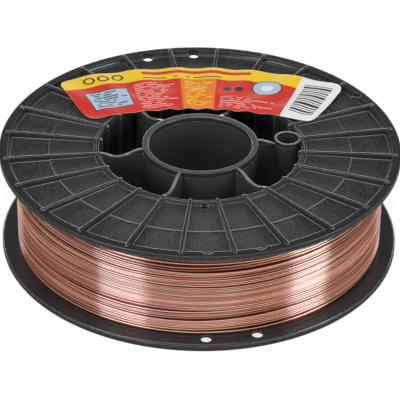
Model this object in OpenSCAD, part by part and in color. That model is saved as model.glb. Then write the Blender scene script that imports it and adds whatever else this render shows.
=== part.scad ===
// Welding wire spool, 200 mm: one moulded plastic spool, one winding of
// copper-coated steel wire and one printed paper label.
// The spool lies on its lower flange. The origin is on the spindle axis at
// the level it rests on, +Z runs up the axis and +X points to the drive hole.

/* [Spool size] */
// Outer diameter of both flanges
flange_d = 200; // [197:0.5:203]
// Width over the ribs of both flanges
spool_w = 55; // [52:0.5:60]

/* [Hub] */
// Diameter of the spindle bore
bore_d = 51.5; // [50.5:0.25:53]
// Wall of the bore tube
bore_wall = 3.1; // [2:0.1:5]
// Chamfer at both mouths of the spindle bore
bore_chamfer = 0.5; // [0.2:0.1:1]
// Diameter of the drive hole
drive_d = 11; // [10:0.25:12]
// Distance from the spindle axis to the drive hole
drive_offset = 44.5; // [42:0.25:45]
// Wall of the drive tube
drive_wall = 1.2; // [1:0.1:2]
// How far the drive tube stops short of each end
drive_inset = 1; // [0.5:0.1:3]
// Number of webs between bore tube and drum
web_count = 6; // [3:1:8]
// Thickness of each web
web_t = 1.8; // [1.2:0.1:3]
// How far the ends of each web stop short of the bore tube's ends
web_inset = 0.7; // [0.2:0.1:2]
// Depth of the dip in the ends of each web
web_dip = 3.3; // [0:0.1:6]

/* [Drum] */
// Inner diameter of the drum
drum_d = 101.2; // [98:0.2:106]
// Wall of the drum
drum_wall = 1.8; // [1.4:0.1:3]
// Depth of the ribs inside the drum
drum_rib = 1.5; // [0.8:0.1:2.5]

/* [Flanges] */
// Thickness of the flange panels
panel_t = 1.6; // [1.2:0.1:2.5]
// Depth of the panels below the rib tops
panel_depth = 2.6; // [2:0.1:3.5]
// Radius of the shallow step across the panels
step_r = 75.5; // [70:0.5:80]
// Height of that step
step_h = 0.3; // [0.1:0.1:0.6]
// Radial width of the rim
rim_w = 4.4; // [3:0.1:7]
// How far the rib tops stand proud of the rim
rim_drop = 0.5; // [0.2:0.1:1]
// Rounding of the rim on the wire side
rim_round = 1.3; // [0.5:0.1:1.4]
// Radial width of the raised ring round the drum opening
ring_w = 2.5; // [2:0.1:5]
// Width of the lip on that ring
lip_w = 1.3; // [0.8:0.1:1.8]
// Height of the lip above the ring
lip_h = 0.3; // [0.1:0.1:0.6]

/* [Ribs] */
// Number of ribs on each flange
rib_count = 24; // [12:1:36]
// Thickness of each rib
rib_t = 1.5; // [1:0.1:2.5]
// Drop of the rib tops from the rim to the drum
rib_fall = 1.2; // [0.5:0.1:1.5]
// Gap from the outer end of a rib to the flange edge
rib_gap = 2; // [1:0.5:4]

/* [Wire holes] */
// Diameter of the holes in the rim that hold the wire end
wire_hole_d = 5.4; // [3:0.1:6]
// Distance of those holes from the flange edge
wire_hole_edge = 5; // [4:0.5:8]
// Diameter of the hole that the wire starts from
start_hole_d = 3.6; // [2:0.1:5]
// Depth of the round marks that stand where a flange has no hole
mark_depth = 0.3; // [0.1:0.1:0.6]

/* [Winding] */
// Outer diameter of the winding
winding_d = 184; // [130:1:190]
// Diameter of the wire
wire_d = 0.8; // [0.6:0.1:1.6]
// Mean gap between two turns of the top layer
turn_gap = 0.3; // [0.1:0.1:0.6]

/* [Label] */
// Height of the label across its band
label_h = 41; // [25:1:44]
// Radius of the arc that the middle of the band follows
label_r = 145; // [120:1:200]
// Distance from the spindle axis to the middle of the band
label_offset = 57; // [54:1:60]
// Angle of the label, end to end, about the centre of its arc
label_angle = 54; // [20:1:60]
// Direction of the label's middle, counted from the drive hole
label_turn = 80; // [70:1:110]
// Thickness of the label
label_t = 0.15; // [0.1:0.05:0.3]

/* [Hidden] */
$fn = 96;

bury = 0.6;
flange_r = flange_d / 2;
bore_r = bore_d / 2;
tube_r = bore_r + bore_wall;
drive_r = drive_d / 2;
drum_in_r = drum_d / 2;
drum_r = drum_in_r + drum_wall;
rim_r = flange_r - rim_w;
rib_end_r = flange_r - rib_gap;
rib_in_r = drum_in_r - drum_rib;
rib_level_r = rim_r - 7;

// Heights are measured up from the middle of the spool.
rib_z = spool_w / 2;
rib_in_z = rib_z - rib_fall;
rim_z = rib_z - rim_drop;
lip_z = rib_in_z - 0.1;
ring_z = lip_z - lip_h;
panel_z = rib_z - panel_depth;
inner_z = panel_z - panel_t;
drive_z = rib_z - drive_inset;
web_z = rib_z - web_inset;
web_low_z = web_z - web_dip;
web_drum_z = lip_z;
web_low_r = tube_r + 0.58 * (drum_in_r - tube_r);

wire_hole_r = flange_r - wire_hole_edge;
start_hole_r = drum_r + start_hole_d / 2 + 0.4;
rib_pitch = 360 / rib_count;
winding_r = winding_d / 2;
winding_h = 2 * inner_z;
turn_count = floor(winding_h / (wire_d + turn_gap));
turn_pitch = winding_h / turn_count;

// One half of the turned body, from the middle of the drum wall up.
// The wire side of the rim is rounded, so the wire runs off without a snag.
module half_profile() {
    round_r = min(rim_round, panel_t - 0.1);
    union() {
        translate([drum_in_r, 0]) square([drum_wall, inner_z + bury]);
        translate([drum_in_r, inner_z]) square([step_r - drum_in_r, panel_t]);
        translate([step_r - bury, inner_z])
            square([rim_r + 2 * bury - step_r, panel_t - step_h]);
        translate([drum_in_r, inner_z]) square([ring_w, ring_z - inner_z]);
        translate([drum_in_r, inner_z]) square([lip_w, lip_z - inner_z]);
        translate([rim_r, inner_z]) square([rim_w - round_r, rim_z - inner_z]);
        translate([rim_r, inner_z + round_r])
            square([rim_w, rim_z - inner_z - round_r]);
        translate([flange_r - round_r, inner_z + round_r]) circle(round_r);
    }
}

// Drum wall and both flanges as one turned body.
module turned_body() {
    rotate_extrude() half_profile();
    mirror([0, 0, 1]) rotate_extrude() half_profile();
}

// Side view of one rib: it runs in over the rim and the panel, falls a little
// towards the drum, turns over the ring and goes down inside the drum to the
// other flange. Its back edge is buried in the walls that carry it.
module rib_profile() {
    nose = min(0.6, drum_rib / 2);
    top = [
        [rib_in_r, rib_in_z - nose], [rib_in_r + nose * 0.3, rib_in_z - nose * 0.3],
        [rib_in_r + nose, rib_in_z], [drum_in_r, rib_in_z],
        [rib_level_r, rib_z], [rib_end_r, rib_z],
        [rib_end_r, panel_z - bury - step_h], [drum_in_r + bury, panel_z - bury - step_h]
    ];
    bottom = [for (i = [len(top) - 1 : -1 : 0]) [top[i].x, -top[i].y]];
    polygon(concat(top, bottom));
}

module ribs() {
    for (i = [0 : rib_count - 1])
        rotate([0, 0, i * rib_pitch]) rotate([90, 0, 0])
            linear_extrude(rib_t, center = true) rib_profile();
}

// Tube for the spindle, chamfered at both mouths.
module bore_tube() {
    rotate_extrude() polygon([
        [bore_r, -rib_z + bore_chamfer], [bore_r + bore_chamfer, -rib_z],
        [tube_r, -rib_z], [tube_r, rib_z],
        [bore_r + bore_chamfer, rib_z], [bore_r, rib_z - bore_chamfer]
    ]);
}

// The ends of a web dip between the bore tube and the drum: one slow wave down
// from the tube and a shorter one back up to the drum.
function web_end(r) = r < web_low_r
    ? web_low_z + (web_z - web_low_z)
        * (1 + cos(180 * (r - tube_r) / (web_low_r - tube_r))) / 2
    : web_low_z + (web_drum_z - web_low_z)
        * (1 - cos(180 * (r - web_low_r) / (drum_in_r - web_low_r))) / 2;

module web_profile() {
    steps = 14;
    span = drum_in_r - tube_r;
    wave = [for (i = [0 : steps]) tube_r + span * i / steps];
    edge = concat([[tube_r - bury, web_z]], [for (r = wave) [r, web_end(r)]],
        [[drum_in_r + bury, web_drum_z]]);
    back = [for (i = [len(edge) - 1 : -1 : 0]) [edge[i].x, -edge[i].y]];
    polygon(concat(edge, back));
}

module webs() {
    for (i = [0 : web_count - 1])
        rotate([0, 0, i * 360 / web_count]) rotate([90, 0, 0])
            linear_extrude(web_t, center = true) web_profile();
}

module drive_tube() {
    translate([drive_offset, 0, -drive_z])
        cylinder(r = drive_r + drive_wall, h = 2 * drive_z);
}

// Two holes beside each other in the rim of each flange hold the loose wire
// end, and one hole close to the drum takes its beginning. The lower flange
// has the same holes, turned over about the X axis.
module wire_holes() {
    for (side = [0, 1])
        rotate([180 * side, 0, 0]) {
            for (turn = [-0.5, 0.5])
                rotate([0, 0, 90 + turn * rib_pitch])
                    translate([wire_hole_r, 0, 0])
                        cylinder(d = wire_hole_d, h = spool_w);
            rotate([0, 0, -90 - rib_pitch / 2])
                translate([start_hole_r, 0, 0])
                    cylinder(d = start_hole_d, h = spool_w);
        }
}

// Three shallow round marks in each flange, as wide as the wire holes: the
// mould's pins stand there when a flange is made without holes.
module hole_marks() {
    for (side = [0, 1])
        rotate([180 * side, 0, 0])
            for (turn = [-90 - rib_pitch / 2, -90 + rib_pitch / 2, 1.5 * rib_pitch])
                rotate([0, 0, turn])
                    translate([wire_hole_r, 0, panel_z - step_h - mark_depth])
                        cylinder(d = wire_hole_d, h = spool_w);
}

module spool() {
    color([0.13, 0.13, 0.14])
        translate([0, 0, spool_w / 2])
            difference() {
                union() {
                    turned_body();
                    ribs();
                    bore_tube();
                    webs();
                    drive_tube();
                }
                translate([drive_offset, 0, -spool_w])
                    cylinder(r = drive_r, h = 2 * spool_w);
                wire_holes();
                hole_marks();
            }
}

// The winding fills the drum from flange to flange as one turned body. Each
// turn of its top layer is a ridge, and the grooves between them go down to
// where the wire is widest and a little further.
module winding_profile() {
    crest = wire_d / 5;
    groove_r = winding_r - 0.7 * wire_d;
    ridges = [
        for (i = [0 : turn_count - 1])
            let (z = (i + 0.5) * turn_pitch - winding_h / 2)
                each [[groove_r, z - turn_pitch / 2], [winding_r, z - crest], [winding_r, z + crest]]
    ];
    polygon(concat([[drum_r, -winding_h / 2]], ridges,
        [[groove_r, winding_h / 2], [drum_r, winding_h / 2]]));
}

module wire_winding() {
    color([0.72, 0.45, 0.35])
        translate([0, 0, spool_w / 2]) rotate_extrude() winding_profile();
}

// The label is a curved band cut from flat paper. It lies on the rib tops and
// hangs over the drum opening with its inner edge.
module label_outline() {
    reach = 2 * label_r;
    half = label_angle / 2;
    rotate(label_turn) translate([label_offset - label_r, 0])
        intersection() {
            difference() {
                circle(label_r + label_h / 2);
                circle(label_r - label_h / 2);
            }
            polygon([[0, 0], [reach * cos(half), reach * sin(half)],
                [reach * cos(half), -reach * sin(half)]]);
        }
}

module label() {
    top_z = spool_w + label_t;
    low_z = spool_w - rib_fall;
    color([0.85, 0.25, 0.16])
        intersection() {
            translate([0, 0, low_z - 1])
                linear_extrude(rib_fall + label_t + 2) label_outline();
            rotate_extrude() polygon([
                [tube_r, low_z], [drum_in_r, low_z], [rib_level_r, spool_w], [flange_r, spool_w],
                [flange_r, top_z], [rib_level_r, top_z],
                [drum_in_r, low_z + label_t], [tube_r, low_z + label_t]
            ]);
        }
}

spool();
wire_winding();
label();
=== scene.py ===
import math
import random

import bpy
from mathutils import Matrix, Vector


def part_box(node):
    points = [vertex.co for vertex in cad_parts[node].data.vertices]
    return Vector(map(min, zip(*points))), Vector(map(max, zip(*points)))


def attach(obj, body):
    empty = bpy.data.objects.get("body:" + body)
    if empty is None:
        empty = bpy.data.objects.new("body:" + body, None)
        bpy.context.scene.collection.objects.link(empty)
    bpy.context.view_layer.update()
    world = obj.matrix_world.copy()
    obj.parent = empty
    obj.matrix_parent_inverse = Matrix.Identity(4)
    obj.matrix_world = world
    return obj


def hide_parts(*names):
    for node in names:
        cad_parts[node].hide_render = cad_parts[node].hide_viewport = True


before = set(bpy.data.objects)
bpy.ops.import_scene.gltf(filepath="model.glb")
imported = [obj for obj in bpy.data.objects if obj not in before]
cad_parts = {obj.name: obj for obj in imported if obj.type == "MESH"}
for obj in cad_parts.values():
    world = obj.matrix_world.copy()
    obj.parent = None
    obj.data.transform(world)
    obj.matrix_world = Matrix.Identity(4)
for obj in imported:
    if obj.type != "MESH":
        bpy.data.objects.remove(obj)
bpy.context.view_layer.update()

spool_low, spool_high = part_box("spool")


# Camera: it stands in front of the spool, a little to the left of the line
# through the spindle and at right angles to the drive hole, and looks down.
CAMERA_TURN = math.radians(-10.1)
CAMERA_TILT = math.radians(32.79)
CAMERA_ROLL = math.radians(0.93)
CAMERA_AWAY = 1.0931
CAMERA_AIM = Vector((0.00033, 0.0, 0.02121))
CAMERA_LENS = 194.1


def studio_camera():
    backward = Vector((0, -math.cos(CAMERA_TILT), math.sin(CAMERA_TILT)))
    level_right = Vector((1, 0, 0))
    level_up = backward.cross(level_right)
    right = math.cos(CAMERA_ROLL) * level_right + math.sin(CAMERA_ROLL) * level_up
    up = math.cos(CAMERA_ROLL) * level_up - math.sin(CAMERA_ROLL) * level_right
    data = bpy.data.cameras.new("camera")
    data.lens = CAMERA_LENS
    data.sensor_width = 36
    data.clip_start = 0.05
    data.clip_end = 20
    camera = bpy.data.objects.new("camera", data)
    axes = Matrix((right, up, backward)).transposed().to_4x4()
    stand = Matrix.Translation(CAMERA_AIM + CAMERA_AWAY * backward)
    camera.matrix_world = Matrix.Rotation(CAMERA_TURN, 4, "Z") @ stand @ axes
    bpy.context.scene.collection.objects.link(camera)
    bpy.context.scene.camera = camera


studio_camera()
bpy.context.scene.view_settings.view_transform = "Standard"


# Floor: a plain white sheet under the spool that runs out past the view. The
# camera sees it white with a soft shadow, and it throws light up at the spool.
# Glossy surfaces mirror it darker.
FLOOR_HALF = 4.0
FLOOR_COLOUR = (0.90, 0.90, 0.90, 1)
FLOOR_SEEN = (0.30, 0.30, 0.30, 1)
FLOOR_MIRRORED = (0.28, 0.28, 0.28, 1)
FLOOR_GLOW = 0.80


def add_node(tree, kind, sockets=None, **settings):
    """Add one shader node. sockets maps an input to its value or to the output that feeds it."""
    new = tree.nodes.new("ShaderNode" + kind)
    for name, value in settings.items():
        setattr(new, name, value)
    for name, value in (sockets or {}).items():
        if isinstance(value, bpy.types.NodeSocket):
            tree.links.new(value, new.inputs[name])
        else:
            new.inputs[name].default_value = value
    return new


def blank_material(name):
    material = bpy.data.materials.new(name)
    material.use_nodes = True
    material.node_tree.nodes.clear()
    return material, material.node_tree


def floor_sheet():
    material, tree = blank_material("floor_white")
    ray = add_node(tree, "LightPath").outputs
    seen = ray["Is Camera Ray"]
    colour = add_node(tree, "Mix", {0: seen, 6: FLOOR_COLOUR, 7: FLOOR_SEEN}, data_type="RGBA")
    colour = add_node(tree, "Mix", {0: ray["Is Glossy Ray"], 6: colour.outputs[2],
                                    7: FLOOR_MIRRORED}, data_type="RGBA")
    matt = add_node(tree, "BsdfDiffuse", {"Color": colour.outputs[2]})
    glow_level = add_node(tree, "Math", {0: seen, 1: FLOOR_GLOW}, operation="MULTIPLY")
    glow = add_node(tree, "Emission", {"Strength": glow_level.outputs[0]})
    both = add_node(tree, "AddShader", {0: matt.outputs[0], 1: glow.outputs[0]})
    add_node(tree, "OutputMaterial", {"Surface": both.outputs[0]})
    mesh = bpy.data.meshes.new("floor")
    corners = [(x * FLOOR_HALF, y * FLOOR_HALF, spool_low.z)
               for x, y in ((-1, -1), (1, -1), (1, 1), (-1, 1))]
    mesh.from_pydata(corners, [], [(0, 1, 2, 3)])
    mesh.materials.append(material)
    floor = bpy.data.objects.new("floor", mesh)
    bpy.context.scene.collection.objects.link(floor)


floor_sheet()


# Light: a pale room, white at the horizon, two tall soft boxes in front whose
# upright edges show as bright bands on the wire, a third one above them, and a
# low one behind that catches the grain and the edges of the plastic.
ROOM_HORIZON = 0.62
ROOM_ABOVE = 0.23
ROOM_FADE = 0.55
ROOM_MIRRORED = 0.34
BOX_AWAY = 1.2


def pale_room():
    world = bpy.data.worlds.new("pale_room")
    bpy.context.scene.world = world
    world.use_nodes = True
    tree = world.node_tree
    tree.nodes.clear()
    toward = add_node(tree, "SeparateXYZ", {0: add_node(tree, "TexCoord").outputs["Generated"]})
    level = add_node(tree, "MapRange", {"Value": toward.outputs[2], "From Max": ROOM_FADE,
                                        "To Min": ROOM_HORIZON, "To Max": ROOM_ABOVE},
                     interpolation_type="SMOOTHSTEP")
    mirrored = add_node(tree, "LightPath").outputs["Is Glossy Ray"]
    share = add_node(tree, "MapRange", {"Value": mirrored, "To Min": 1, "To Max": ROOM_MIRRORED})
    level = add_node(tree, "Math", {0: level.outputs[0], 1: share.outputs[0]},
                     operation="MULTIPLY")
    back = add_node(tree, "Background", {"Strength": level.outputs[0]})
    add_node(tree, "OutputWorld", {"Surface": back.outputs[0]})


def soft_box(name, turn, rise, spread, height, radiance):
    """A flat lamp that faces the spindle: turn and rise place its middle, spread is its width."""
    width = 2 * BOX_AWAY * math.tan(math.radians(spread / 2))
    data = bpy.data.lights.new(name, "AREA")
    data.shape = "RECTANGLE"
    data.size = width
    data.size_y = height
    data.energy = radiance * math.pi * width * height
    lamp = bpy.data.objects.new(name, data)
    out = Matrix.Rotation(math.radians(turn), 3, "Z") @ Vector((1, 0, 0))
    lamp.location = BOX_AWAY * (out * math.cos(math.radians(rise))
                                + Vector((0, 0, math.sin(math.radians(rise)))))
    lamp.rotation_euler = (math.radians(90 - rise), 0, math.radians(turn + 90))
    bpy.context.scene.collection.objects.link(lamp)


pale_room()
soft_box("soft_box_left", turn=-143.0, rise=17, spread=26, height=0.72, radiance=7.3)
soft_box("soft_box_right", turn=-34.7, rise=17, spread=22, height=0.72, radiance=9.4)
soft_box("soft_box_above", turn=-110, rise=66, spread=40, height=0.42, radiance=4.5)
soft_box("soft_box_behind", turn=80, rise=9, spread=110, height=0.30, radiance=4.5)


# Spool: one injection moulding in black polystyrene, with ribbed flanges, a
# thin drum, six webs, the spindle tube and the drive tube all in one shot.
# Every edge is a little rounded and the faces have a fine moulded grain.
PLASTIC_DARK = (0.015, 0.015, 0.016, 1)
PLASTIC_PALE = (0.030, 0.030, 0.031, 1)
PANEL_DARK = (0.010, 0.010, 0.011, 1)
PANEL_PALE = (0.080, 0.080, 0.083, 1)
# Painted highlights: the colours the rounded edges and the step across the panels are lifted to.
PLASTIC_EDGE_HIGHLIGHT = (0.07, 0.07, 0.074, 1)
STEP_EDGE_HIGHLIGHT = (0.26, 0.26, 0.27, 1)
# Painted light: the lighter grey given to the inside of the drum.
CORE_PAINTED_LIGHT = (0.045, 0.042, 0.044, 1)
CORE_R = 0.0504
TUBE_R = 0.0292
# Painted highlights: the colours of the flat tops of the spindle tube and of the webs.
TUBE_END_HIGHLIGHT = (0.085, 0.085, 0.088, 1)
WEB_END_HIGHLIGHT = (0.20, 0.20, 0.205, 1)
WEB_END_LEVEL = 0.0232
WEB_END_FACING = 0.6
PANEL_LEVELS = (0.0240, 0.02495)
EDGE_ROUND = 0.0006
GRAIN_HEIGHT = 0.00005
SINK_HEIGHT = 0.00012


def moulded_plastic():
    material, tree = blank_material("moulded_black_plastic")
    place = add_node(tree, "TexCoord").outputs["Object"]
    flow = add_node(tree, "TexNoise", {"Vector": place, "Scale": 35, "Detail": 4})
    grain = add_node(tree, "TexNoise", {"Vector": place, "Scale": 1300, "Detail": 3})
    sink = add_node(tree, "TexNoise", {"Vector": place, "Scale": 130, "Detail": 2})
    rounded = add_node(tree, "Bevel", {"Radius": EDGE_ROUND}, samples=16)
    facing = add_node(tree, "NewGeometry").outputs["Normal"]
    flat = add_node(tree, "VectorMath", {0: rounded.outputs[0], 1: facing},
                    operation="DOT_PRODUCT")
    edge = add_node(tree, "MapRange", {"Value": flat.outputs["Value"], "From Min": 0.995,
                                       "From Max": 0.90})
    height = add_node(tree, "SeparateXYZ", {0: place}).outputs[2]
    from_middle = add_node(tree, "Math", {0: height, 1: -spool_high.z / 2})
    level = add_node(tree, "Math", {0: from_middle.outputs[0]}, operation="ABSOLUTE").outputs[0]
    above = add_node(tree, "Math", {0: level, 1: PANEL_LEVELS[0]}, operation="GREATER_THAN")
    below = add_node(tree, "Math", {0: level, 1: PANEL_LEVELS[1]}, operation="LESS_THAN")
    panel = add_node(tree, "Math", {0: above.outputs[0], 1: below.outputs[0]},
                     operation="MULTIPLY").outputs[0]
    speck = add_node(tree, "MapRange", {"Value": grain.outputs[0], "From Min": 0.38,
                                        "From Max": 0.62})
    matt = add_node(tree, "Mix", {0: speck.outputs[0], 6: PANEL_DARK, 7: PANEL_PALE},
                    data_type="RGBA")
    smooth = add_node(tree, "Mix", {0: flow.outputs[0], 6: PLASTIC_DARK, 7: PLASTIC_PALE},
                      data_type="RGBA")
    flat_place = add_node(tree, "VectorMath", {0: place, 1: (1, 1, 0)}, operation="MULTIPLY")
    from_axis = add_node(tree, "VectorMath", {0: flat_place.outputs[0]}, operation="LENGTH")
    core = add_node(tree, "Math", {0: from_axis.outputs["Value"], 1: CORE_R},
                    operation="LESS_THAN")
    inner = add_node(tree, "Math", {0: level, 1: PANEL_LEVELS[0]}, operation="LESS_THAN")
    core = add_node(tree, "Math", {0: core.outputs[0], 1: inner.outputs[0]},
                    operation="MULTIPLY")
    # Painted light: inside the drum, on its wall, the webs and the tubes, the plastic is painted a
    # lighter grey for light that does not reach in there.
    shell = add_node(tree, "Mix", {0: core.outputs[0], 6: smooth.outputs[2], 7: CORE_PAINTED_LIGHT},
                     data_type="RGBA")
    body = add_node(tree, "Mix", {0: panel, 6: shell.outputs[2], 7: matt.outputs[2]},
                    data_type="RGBA")
    # Painted highlight: the flat tops of the webs and of the spindle tube are painted a lighter
    # grey, for the light lines they catch.
    upward = add_node(tree, "SeparateXYZ", {0: facing}).outputs[2]
    flatness = add_node(tree, "Math", {0: upward}, operation="ABSOLUTE").outputs[0]
    end_highlight_mask = add_node(tree, "Math", {0: from_axis.outputs["Value"], 1: CORE_R},
                       operation="LESS_THAN").outputs[0]
    for value, limit, compare in ((level, WEB_END_LEVEL, "GREATER_THAN"),
                                  (flatness, WEB_END_FACING, "GREATER_THAN")):
        part = add_node(tree, "Math", {0: value, 1: limit}, operation=compare)
        end_highlight_mask = add_node(tree, "Math", {0: end_highlight_mask, 1: part.outputs[0]},
                           operation="MULTIPLY").outputs[0]
    past_tube = add_node(tree, "Math", {0: from_axis.outputs["Value"], 1: TUBE_R},
                         operation="GREATER_THAN")
    end_highlight = add_node(tree, "Mix", {0: past_tube.outputs[0], 6: TUBE_END_HIGHLIGHT, 7: WEB_END_HIGHLIGHT},
                        data_type="RGBA")
    body = add_node(tree, "Mix", {0: end_highlight_mask, 6: body.outputs[2], 7: end_highlight.outputs[2]},
                    data_type="RGBA")
    # Painted highlight: along the rounded edges the colour is lifted to a light grey, lighter
    # still at the step across the panels, for the light these edges catch.
    painted_edge_highlight = add_node(tree, "Mix", {0: panel, 6: PLASTIC_EDGE_HIGHLIGHT, 7: STEP_EDGE_HIGHLIGHT}, data_type="RGBA")
    colour = add_node(tree, "Mix", {0: edge.outputs[0], 6: body.outputs[2],
                                    7: painted_edge_highlight.outputs[2]}, data_type="RGBA")
    rough = add_node(tree, "MapRange", {"Value": panel, "To Min": 0.23, "To Max": 0.46})
    wavy = add_node(tree, "Bump", {"Strength": 0.4, "Distance": SINK_HEIGHT,
                                   "Height": sink.outputs[0], "Normal": rounded.outputs[0]})
    fine = add_node(tree, "Bump", {"Strength": 0.5, "Distance": GRAIN_HEIGHT,
                                   "Height": grain.outputs[0], "Normal": wavy.outputs[0]})
    skin = add_node(tree, "BsdfPrincipled", {"Base Color": colour.outputs[2],
                                             "Roughness": rough.outputs[0],
                                             "Normal": fine.outputs[0]})
    add_node(tree, "OutputMaterial", {"Surface": skin.outputs[0]})
    return material


def dress(node, material):
    """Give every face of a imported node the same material."""
    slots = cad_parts[node].material_slots
    for held in slots:
        held.material = material


black_plastic = moulded_plastic()
dress("spool", black_plastic)


# Wire winding: several hundred metres of 0.8 mm steel wire with a bright
# copper coating, wound in layers between the flanges. The turns of the top
# layer lie side by side and part here and there, so the layer below shows.
WIRE_R = 0.0004
TOP_TURNS = 42
TURN_STEPS = 180
WIRE_SIDES = 8
SETTLE = 0.0004
TUCK_TURNS = 0.06
UNDER_TURNS = 58
UNDER_STEPS = 120
GROOVE_DEPTH = 0.00022
COPPER_BRIGHT = (0.84, 0.355, 0.22, 1)
COPPER_DULL = (0.34, 0.10, 0.050, 1)
# Painted shade: the dark colour of the valleys between turns, and the metallic share there, which
# lets that dark colour darken the gloss too.
COPPER_VALLEY_SHADE = (0.26, 0.072, 0.034, 1)
COPPER_SHADE_METALLIC = 1.0
COPPER_GLOSSY = 0.10
COPPER_IOR = 3.3

winding_low, winding_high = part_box("wire_winding")
winding_r = winding_high.x
top_layer_r = winding_r - WIRE_R
DRUM_R = 0.0524


def slow_wave(draw, swings):
    """A wave that closes on itself round the spool: a list of (count, size, start)."""
    return [(count, draw.uniform(0.4, 1) / count ** 0.7, draw.uniform(0, 2 * math.pi))
            for count in range(1, swings + 1)]


def wave_height(wave, angle):
    return sum(size * math.cos(count * angle + start) for count, size, start in wave)


def gap_sums(draw):
    """For each step round the spool, how far each turn is pushed up by the gaps below it."""
    room = winding_high.z - winding_low.z - 2 * WIRE_R * (TOP_TURNS + 1)
    sites = [(draw.choice((0, 0.5, 1.3, 2.0)), slow_wave(draw, 5)) for _ in range(TOP_TURNS)]
    sums = []
    for step in range(TURN_STEPS + 1):
        angle = 2 * math.pi * step / TURN_STEPS
        pushes = [max(0.02, level + wave_height(wave, angle)) ** 2 for level, wave in sites]
        share = room / sum(pushes)
        running = [0.0]
        for push in pushes:
            running.append(running[-1] + push * share)
        sums.append(running)
    return sums


def wire_path():
    """Middle of the wire along the top layer, as (angle, radius, height)."""
    draw = random.Random(11)
    sums = gap_sums(draw)
    seats = [slow_wave(draw, 3) for _ in range(TOP_TURNS + 1)]
    path = []
    for turn in range(TOP_TURNS):
        for step in range(TURN_STEPS):
            part = step / TURN_STEPS
            angle = 2 * math.pi * part
            pushed = (1 - part) * sums[step][turn] + part * sums[step][turn + 1]
            height = winding_low.z + WIRE_R + 2 * WIRE_R * (turn + part) + pushed
            seat = ((1 - part) * wave_height(seats[turn], angle)
                    + part * wave_height(seats[turn + 1], angle))
            from_end = min(turn + part, TOP_TURNS - turn - part)
            tucked = 2 * WIRE_R * max(0, 1 - from_end / TUCK_TURNS)
            radius = top_layer_r - SETTLE * min(1, max(0, seat)) - tucked
            path.append((angle, radius, height))
    return path


def wire_tube(path):
    """A round wire along the path, with its two ends closed."""
    ring = [2 * math.pi * side / WIRE_SIDES for side in range(WIRE_SIDES)]
    points, places = [], []
    for row, (angle, radius, height) in enumerate(path):
        for lean in ring:
            reach = radius + WIRE_R * math.cos(lean)
            points.append((reach * math.cos(angle), reach * math.sin(angle),
                           height + WIRE_R * math.sin(lean)))
            places.append((row / TURN_STEPS, lean))
    faces = []
    for row in range(len(path) - 1):
        here = row * WIRE_SIDES
        for side in range(WIRE_SIDES):
            after = (side + 1) % WIRE_SIDES
            faces.append((here + side, here + WIRE_SIDES + side,
                          here + WIRE_SIDES + after, here + after))
    faces.append(tuple(range(WIRE_SIDES)))
    faces.append(tuple(reversed(range(len(points) - WIRE_SIDES, len(points)))))
    return points, faces, places


def under_layers():
    """The layers below, as one turned ring whose outside is grooved like turns of wire."""
    outer = top_layer_r - WIRE_R
    pitch = (winding_high.z - winding_low.z) / UNDER_TURNS
    outline = [(DRUM_R, winding_low.z), (outer - GROOVE_DEPTH, winding_low.z)]
    for turn in range(UNDER_TURNS):
        outline.append((outer, winding_low.z + (turn + 0.5) * pitch))
        outline.append((outer - GROOVE_DEPTH, winding_low.z + (turn + 1) * pitch))
    outline.append((DRUM_R, winding_high.z))
    count = len(outline)
    points, places = [], []
    for step in range(UNDER_STEPS):
        angle = 2 * math.pi * step / UNDER_STEPS
        points += [(r * math.cos(angle), r * math.sin(angle), z) for r, z in outline]
        places += [(0.37 * row, 0) for row in range(count)]
    faces = []
    for step in range(UNDER_STEPS):
        here = step * count
        there = (step + 1) % UNDER_STEPS * count
        for row in range(count):
            after = (row + 1) % count
            faces.append((here + row, there + row, there + after, here + after))
    return points, faces, places


def copper_wire(name, bright, dull, valley_shade, crest):
    """Drawn wire: each turn has its own tone, and the valleys between turns carry painted shade,
    which darkens the gloss there too. Die marks run along it, so its gloss spreads across it."""
    material, tree = blank_material(name)
    along = add_node(tree, "SeparateXYZ", {0: add_node(tree, "UVMap", uv_map="places").outputs[0]})
    tone = add_node(tree, "TexNoise", {"W": along.outputs[0], "Scale": 2.3, "Detail": 3},
                    noise_dimensions="1D")
    tone = add_node(tree, "MapRange", {"Value": tone.outputs[0], "From Min": 0.42,
                                       "From Max": 0.56})
    colour = add_node(tree, "Mix", {0: tone.outputs[0], 6: dull, 7: bright}, data_type="RGBA")
    place = add_node(tree, "TexCoord").outputs["Object"]
    level = add_node(tree, "VectorMath", {0: place, 1: (1, 1, 0)}, operation="MULTIPLY")
    away = add_node(tree, "VectorMath", {0: level.outputs[0]}, operation="NORMALIZE")
    facing = add_node(tree, "NewGeometry").outputs["Normal"]
    outward = add_node(tree, "VectorMath", {0: away.outputs[0], 1: facing},
                       operation="DOT_PRODUCT")
    unshaded_share = add_node(tree, "MapRange", {"Value": outward.outputs["Value"], "From Min": 0.45,
                                        "From Max": 0.95})
    # Painted shade: where the wire turns away into the valley between two turns, its colour goes
    # to the dark valley colour.
    colour = add_node(tree, "Mix", {0: unshaded_share.outputs[0], 6: valley_shade, 7: colour.outputs[2]},
                      data_type="RGBA")
    # Painted shade in the gloss: in the valleys the wire is fully metallic, so its gloss takes the
    # dark valley colour.
    shade_metallic = add_node(tree, "MapRange", {"Value": unshaded_share.outputs[0], "From Max": 0.35,
                                       "To Min": COPPER_SHADE_METALLIC,
                                       "To Max": crest})
    along_turn = add_node(tree, "Tangent", direction_type="RADIAL", axis="Z")
    metal = add_node(tree, "BsdfPrincipled", {"Base Color": colour.outputs[2],
                                              "Metallic": shade_metallic.outputs[0], "Roughness": 0.28,
                                              "IOR": COPPER_IOR, "Anisotropic": 1,
                                              "Anisotropic Rotation": 0.25,
                                              "Tangent": along_turn.outputs[0]})
    add_node(tree, "OutputMaterial", {"Surface": metal.outputs[0]})
    return material


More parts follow.
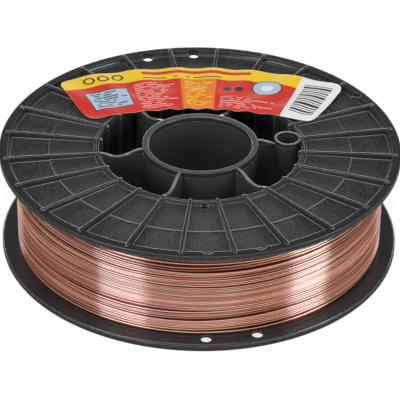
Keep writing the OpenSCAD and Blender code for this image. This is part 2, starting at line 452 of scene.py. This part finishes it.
def mesh_piece(name, points, faces, places, materials):
    """A new piece that moves with the root body. places holds two surface coordinates a point."""
    mesh = bpy.data.meshes.new(name)
    mesh.from_pydata(points, [], faces)
    for material in materials:
        mesh.materials.append(material)
    mesh.polygons.foreach_set("use_smooth", [True] * len(mesh.polygons))
    grid = mesh.uv_layers.new(name="places")
    for loop in mesh.loops:
        grid.data[loop.index].uv = places[loop.vertex_index]
    piece = bpy.data.objects.new(name, mesh)
    bpy.context.scene.collection.objects.link(piece)
    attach(piece, "root")
    return piece


turns = mesh_piece("wire_turns", *wire_tube(wire_path()),
                   [copper_wire("copper_coated_wire", COPPER_BRIGHT, COPPER_DULL, COPPER_VALLEY_SHADE,
                                COPPER_GLOSSY)])
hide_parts("wire_winding")
# Painted shade: the layer below gets the dull and dark valley tones, fully metallic, darker than
# the top layer, for the shade between the turns above it.
layers = mesh_piece("wire_layers_below", *under_layers(),
                    [copper_wire("copper_wire_below", COPPER_DULL, COPPER_VALLEY_SHADE, COPPER_VALLEY_SHADE,
                                 COPPER_SHADE_METALLIC)])


# Label: one curved band of coated paper, printed in bright colours and stuck
# to the tops of the ribs. It sags a little between them, and its inner edge
# hangs free over the opening of the drum.
LABEL_TURN = math.radians(80)
LABEL_R_IN = 0.1245
LABEL_R_OUT = 0.1655
LABEL_CENTRE = -0.088
LABEL_HALF = math.radians(27)
LABEL_THICK = 0.00015
LABEL_CORNER = 0.006
LABEL_STEPS = 170
LABEL_ROWS = 36
SAG_BETWEEN = 0.0009
SAG_ON_LIP = 0.00008
LIP_R = 0.0519
RIB_COUNT = 24
OPENING_R = 0.0506
LEVEL_R = 0.0886

label_low, label_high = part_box("label")
label_rise = label_high.z - LABEL_THICK - label_low.z


def paper_height(x, y):
    """Height of the paper's underside: on the rib tops, and lower between two ribs."""
    r = math.hypot(x, y)
    climb = min(1, max(0, (r - OPENING_R) / (LEVEL_R - OPENING_R)))
    between = (1 - math.cos(RIB_COUNT * math.atan2(y, x))) / 2
    free = min(1, abs(r - LIP_R) / (0.2 * LIP_R))
    sag = SAG_ON_LIP + (SAG_BETWEEN - SAG_ON_LIP) * free * free * (3 - 2 * free)
    return label_low.z + label_rise * climb - sag * between


def label_sheet():
    length = (LABEL_R_IN + LABEL_R_OUT) * LABEL_HALF
    height = LABEL_R_OUT - LABEL_R_IN
    top, under, prints = [], [], []
    for step in range(LABEL_STEPS + 1):
        along = step / LABEL_STEPS
        inset_end = min(along, 1 - along) * length
        trim = 0.0
        if inset_end < LABEL_CORNER:
            trim = LABEL_CORNER - math.sqrt(LABEL_CORNER ** 2 - (LABEL_CORNER - inset_end) ** 2)
        for row in range(LABEL_ROWS + 1):
            across = (trim + (height - 2 * trim) * row / LABEL_ROWS) / height
            lean = LABEL_HALF * (1 - 2 * along)
            r = LABEL_R_IN + height * across
            flat_x = LABEL_CENTRE + r * math.cos(lean)
            flat_y = r * math.sin(lean)
            x = flat_x * math.cos(LABEL_TURN) - flat_y * math.sin(LABEL_TURN)
            y = flat_x * math.sin(LABEL_TURN) + flat_y * math.cos(LABEL_TURN)
            z = paper_height(x, y)
            top.append((x, y, z + LABEL_THICK))
            under.append((x, y, z))
            prints.append((along, across))
    rows = LABEL_ROWS + 1
    count = len(top)
    faces = []
    for step in range(LABEL_STEPS):
        for row in range(LABEL_ROWS):
            a = step * rows + row
            faces.append((a, a + 1, a + rows + 1, a + rows))
    printed = len(faces)
    faces += [tuple(reversed([count + corner for corner in face])) for face in faces]
    edge = ([row for row in range(rows)]
            + [step * rows + LABEL_ROWS for step in range(1, LABEL_STEPS + 1)]
            + [LABEL_STEPS * rows + row for row in range(LABEL_ROWS - 1, -1, -1)]
            + [step * rows for step in range(LABEL_STEPS - 1, 0, -1)])
    for here, there in zip(edge, edge[1:] + edge[:1]):
        faces.append((there, here, count + here, count + there))
    return top + under, faces, prints + prints, printed


LABEL_MM = (136.7, 41.0)
PRINT_RED = (0.70, 0.035, 0.022, 1)
PRINT_YELLOW = (0.93, 0.62, 0.02, 1)
PRINT_ORANGE = (0.86, 0.22, 0.02, 1)
PRINT_BLUE = (0.46, 0.58, 0.74, 1)
PRINT_WHITE = (0.86, 0.86, 0.85, 1)
PRINT_DARK = (0.03, 0.03, 0.035, 1)
PRINT_PINK = (0.86, 0.42, 0.38, 1)


def between(tree, value, low, high):
    """1 where low < value < high."""
    above = add_node(tree, "Math", {0: value, 1: low}, operation="GREATER_THAN")
    below = add_node(tree, "Math", {0: value, 1: high}, operation="LESS_THAN")
    return add_node(tree, "Math", {0: above.outputs[0], 1: below.outputs[0]},
                    operation="MULTIPLY").outputs[0]


def print_over(tree, paper, colour, mask):
    return add_node(tree, "Mix", {0: mask, 6: paper, 7: colour}, data_type="RGBA").outputs[2]


def printed_paper():
    """Bands, bars and discs of flat colour, placed in millimetres along and across the label."""
    material, tree = blank_material("label_print")
    grid = add_node(tree, "UVMap", uv_map="places")
    across_mm = add_node(tree, "VectorMath", {0: grid.outputs[0], 1: (*LABEL_MM, 0)},
                         operation="MULTIPLY")
    mm = add_node(tree, "SeparateXYZ", {0: across_mm.outputs[0]}).outputs

    def bar(paper, colour, left, right, low, high):
        wide = between(tree, mm[0], left, right)
        tall = between(tree, mm[1], low, high)
        mask = add_node(tree, "Math", {0: wide, 1: tall}, operation="MULTIPLY")
        return print_over(tree, paper, colour, mask.outputs[0])

    def disc(paper, colour, x, y, radius):
        apart = add_node(tree, "VectorMath", {0: across_mm.outputs[0], 1: (x, y, 0)},
                         operation="DISTANCE")
        mask = between(tree, apart.outputs["Value"], -1, radius)
        return print_over(tree, paper, colour, mask)

    def rows(paper, colour, left, right, low, high, pitch):
        """Thin rows of short dashes of uneven length."""
        up = add_node(tree, "Math", {0: mm[1], 1: low}, operation="SUBTRACT").outputs[0]
        count = add_node(tree, "Math", {0: up, 1: pitch}, operation="DIVIDE").outputs[0]
        row = add_node(tree, "Math", {0: count}, operation="FLOOR").outputs[0]
        part = add_node(tree, "Math", {0: count}, operation="FRACT").outputs[0]
        inked = add_node(tree, "Math", {0: part, 1: 0.45}, operation="LESS_THAN").outputs[0]
        dash = add_node(tree, "Math", {0: mm[0], 1: 1.9}, operation="DIVIDE").outputs[0]
        shift = add_node(tree, "Math", {0: row, 1: 0.37}, operation="MULTIPLY").outputs[0]
        dash = add_node(tree, "Math", {0: dash, 1: shift}).outputs[0]
        dash = add_node(tree, "Math", {0: dash}, operation="FLOOR").outputs[0]
        cell = add_node(tree, "CombineXYZ", {0: dash, 1: row}).outputs[0]
        drawn = add_node(tree, "TexWhiteNoise", {"Vector": cell}).outputs[0]
        drawn = add_node(tree, "Math", {0: drawn, 1: 0.22}, operation="GREATER_THAN").outputs[0]
        short = add_node(tree, "TexWhiteNoise", {"W": row}, noise_dimensions="1D").outputs[0]
        stop = add_node(tree, "MapRange", {"Value": short, "To Min": right,
                                           "To Max": left + 0.55 * (right - left)}).outputs[0]
        mask = add_node(tree, "Math", {0: inked, 1: drawn}, operation="MULTIPLY").outputs[0]
        for more in (between(tree, mm[0], left, stop), between(tree, mm[1], low, high)):
            mask = add_node(tree, "Math", {0: mask, 1: more}, operation="MULTIPLY").outputs[0]
        return print_over(tree, paper, colour, mask)

    paper = add_node(tree, "RGB").outputs[0]
    paper.default_value = PRINT_RED
    paper = bar(paper, PRINT_YELLOW, -1, 116, 30, 42)
    paper = bar(paper, PRINT_ORANGE, 58, 76, -1, 30)
    paper = bar(paper, PRINT_DARK, 7.4, 30.6, 6.4, 24.6)
    paper = bar(paper, PRINT_BLUE, 8, 30, 7, 24)
    paper = rows(paper, PRINT_DARK, 10, 29, 8.5, 23, 1.9)
    paper = rows(paper, PRINT_PINK, 34, 56, 3, 28, 1.8)
    paper = rows(paper, PRINT_YELLOW, 60, 75, 4, 28, 1.8)
    paper = rows(paper, PRINT_PINK, 79, 112, 3, 14, 1.8)
    paper = bar(paper, PRINT_RED, 40, 92, 35.4, 38.2)
    paper = rows(paper, PRINT_DARK, 40, 92, 31.6, 33.6, 2.0)
    for place in (14, 21, 28):
        paper = disc(paper, PRINT_DARK, place, 35.6, 2.9)
        paper = disc(paper, PRINT_YELLOW, place, 35.6, 1.9)
    paper = disc(paper, PRINT_DARK, 102, 25, 7.6)
    paper = disc(paper, PRINT_BLUE, 102, 25, 7.0)
    paper = disc(paper, PRINT_WHITE, 102, 25, 3.2)
    for place in (82, 88):
        paper = disc(paper, PRINT_DARK, place, 21, 2.3)
    paper = bar(paper, PRINT_WHITE, 116, 138, -1, 42)
    low = 7
    for thick in (0.7, 1.5, 0.6, 1.0, 2.0, 0.7, 1.2, 0.6, 1.7, 0.8, 1.1, 0.6, 1.9, 0.7):
        paper = bar(paper, PRINT_DARK, 119, 133, low, low + thick)
        low += thick + 1.0
    fibre = add_node(tree, "TexNoise", {"Vector": grid.outputs[0], "Scale": 160, "Detail": 3})
    uneven = add_node(tree, "Bump", {"Strength": 0.12, "Distance": 0.00005,
                                     "Height": fibre.outputs[0]})
    face = add_node(tree, "BsdfPrincipled", {"Base Color": paper, "Roughness": 0.45, "IOR": 1.3,
                                             "Normal": uneven.outputs[0]})
    add_node(tree, "OutputMaterial", {"Surface": face.outputs[0]})
    return material


def backing_paper():
    material, tree = blank_material("label_back")
    place = add_node(tree, "TexCoord").outputs["Object"]
    fibre = add_node(tree, "TexNoise", {"Vector": place, "Scale": 900, "Detail": 3})
    colour = add_node(tree, "Mix", {0: fibre.outputs[0], 6: (0.62, 0.60, 0.56, 1),
                                    7: (0.78, 0.76, 0.72, 1)}, data_type="RGBA")
    face = add_node(tree, "BsdfPrincipled", {"Base Color": colour.outputs[2],
                                             "Roughness": 0.8})
    add_node(tree, "OutputMaterial", {"Surface": face.outputs[0]})
    return material


*label_mesh, printed_faces = label_sheet()
label = mesh_piece("label_band", *label_mesh, [printed_paper(), backing_paper()])
for index, face in enumerate(label.data.polygons):
    face.material_index = 0 if index < printed_faces else 1
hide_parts("label")


# Rim fillets: the hollow rounding of the spool moulding where each flange's
# panels run up to its rim. It is moulded in one with the rest, so it has the
# same black plastic, and it stops short of the wire holes and the pin marks.
RIM_R = 0.0956
FILLET_R = 0.0013
FILLET_STEPS = 6
FILLET_SUNK = 0.0003
FOOT_LEVEL = 0.0246
HOLE_TURNS = (-97.5, -82.5, 22.5, 82.5, 97.5)
HOLE_HALF = 1.8
SECTION_EVERY = 2.0


def fillet_profile():
    """The arc from panel to rim, closed inside the flange: a list of (radius, level)."""
    arc = [math.pi / 2 * step / FILLET_STEPS for step in range(FILLET_STEPS + 1)]
    inner = RIM_R - FILLET_R
    profile = [(inner + FILLET_R * math.sin(t), FOOT_LEVEL + FILLET_R * (1 - math.cos(t)))
               for t in arc]
    return profile + [(RIM_R + FILLET_SUNK, FOOT_LEVEL + FILLET_R),
                      (RIM_R + FILLET_SUNK, FOOT_LEVEL - FILLET_SUNK),
                      (inner, FOOT_LEVEL - FILLET_SUNK)]


def rim_fillets():
    profile = fillet_profile()
    count = len(profile)
    middle = spool_high.z / 2
    points, faces = [], []
    for side in (1, -1):
        for here, after in zip(HOLE_TURNS, HOLE_TURNS[1:] + (HOLE_TURNS[0] + 360,)):
            start = here + HOLE_HALF
            span = after - HOLE_HALF - start
            sections = math.ceil(span / SECTION_EVERY)
            first = len(points)
            for section in range(sections + 1):
                angle = side * math.radians(start + span * section / sections)
                points += [(r * math.cos(angle), r * math.sin(angle), middle + side * level)
                           for r, level in profile]
            for section in range(sections):
                a = first + section * count
                faces += [(a + row, a + (row + 1) % count,
                           a + count + (row + 1) % count, a + count + row)
                          for row in range(count)]
            faces.append(tuple(range(first + count - 1, first - 1, -1)))
            faces.append(tuple(range(len(points) - count, len(points))))
    return points, faces, [(0, 0)] * len(points)


fillets = mesh_piece("rim_fillets", *rim_fillets(), [black_plastic])
fillets.data.set_sharp_from_angle(angle=math.radians(40))
